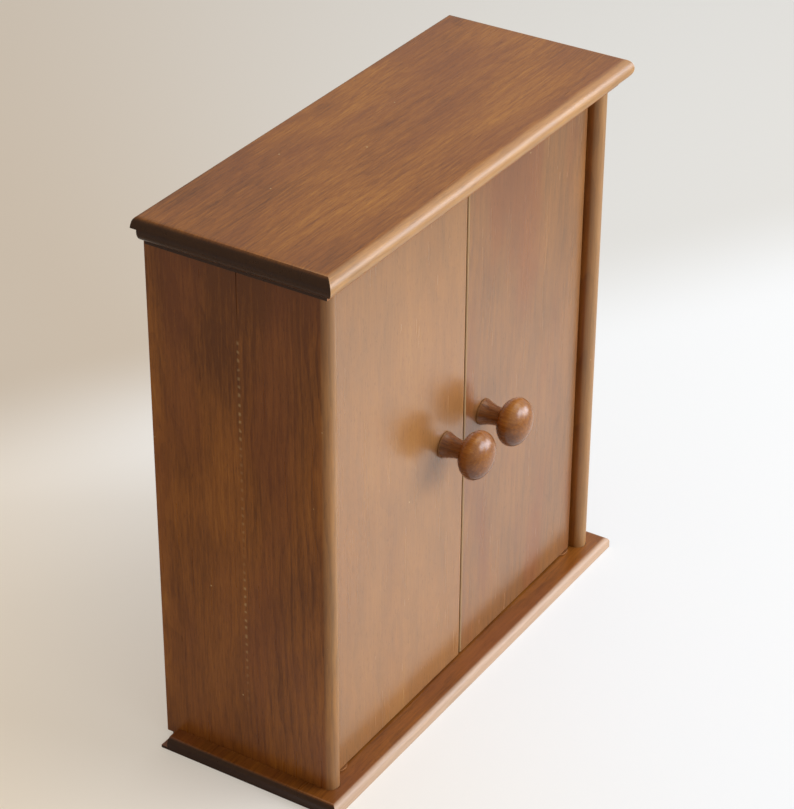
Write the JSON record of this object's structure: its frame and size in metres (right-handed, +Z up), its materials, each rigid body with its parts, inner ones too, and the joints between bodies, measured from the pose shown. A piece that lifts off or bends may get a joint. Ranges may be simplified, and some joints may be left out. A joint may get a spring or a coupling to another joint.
{
  "type": "desktop cabinet",
  "caption": "Small desktop cabinet of stained wood with a moulded top and base, two pivoted doors with turned knobs, and shelves behind them.",
  "frame": {"origin": "on the plane that the cabinet stands on, under the middle of the top board (mount base_underside)", "axes": "+X to the right seen from the front, +Y to the back, +Z up; the doors face -Y"},
  "size_m": [0.2808, 0.1216, 0.3],
  "materials": {
    "stained_top": "brown stain under satin lacquer, grain along X",
    "stained_base": "brown stain under satin lacquer, grain along X",
    "stained_side": "brown stain under satin lacquer, grain along Z",
    "stained_door": "brown stain under satin lacquer, grain along Z",
    "stained_knob": "turned, brown stain under gloss lacquer",
    "shelf_wood": "brown stain, thin lacquer",
    "back_plywood": "thin plywood, stained",
    "beech_dowel": "plain beech",
    "nickel_magnet": "nickel plated",
    "washer_steel": "zinc plated steel",
    "fastener_steel": "zinc plated steel"
  },
  "bodies": {
    "carcass": {"top_board": "stained_top", "base_board": "stained_base", "left_side_front_board": "stained_side", "left_side_rear_board": "stained_side", "right_side_front_board": "stained_side", "right_side_rear_board": "stained_side", "back_panel": "back_plywood", "lower_shelf": "shelf_wood", "upper_shelf": "shelf_wood", "door_stop": "shelf_wood", "left_magnet": "nickel_magnet", "left_pivot_washer": "washer_steel", "left_lower_pivot_pin": "fastener_steel", "left_upper_pivot_pin": "fastener_steel", "right_magnet": "nickel_magnet", "right_pivot_washer": "washer_steel", "right_lower_pivot_pin": "fastener_steel", "right_upper_pivot_pin": "fastener_steel", "top_dowels": "beech_dowel", "base_screws": "fastener_steel", "door_stop_screws": "fastener_steel", "back_panel_nails": "fastener_steel"},
    "left_leaf": {"left_door": "stained_door", "left_knob": "stained_knob", "left_knob_screw": "fastener_steel", "left_strike": "washer_steel"},
    "right_leaf": {"right_door": "stained_door", "right_knob": "stained_knob", "right_knob_screw": "fastener_steel", "right_strike": "washer_steel"}
  },
  "joints": [
    {"name": "left_door_hinge", "type": "hinge", "parent": "carcass", "child": "left_leaf", "pos_m": [-0.1124, -0.0358, 0.0081], "axis": [0, 0, -1], "range_deg": [0, 110]},
    {"name": "right_door_hinge", "type": "hinge", "parent": "carcass", "child": "right_leaf", "pos_m": [0.1124, -0.0358, 0.0081], "axis": [0, 0, 1], "range_deg": [0, 110]}
  ]
}
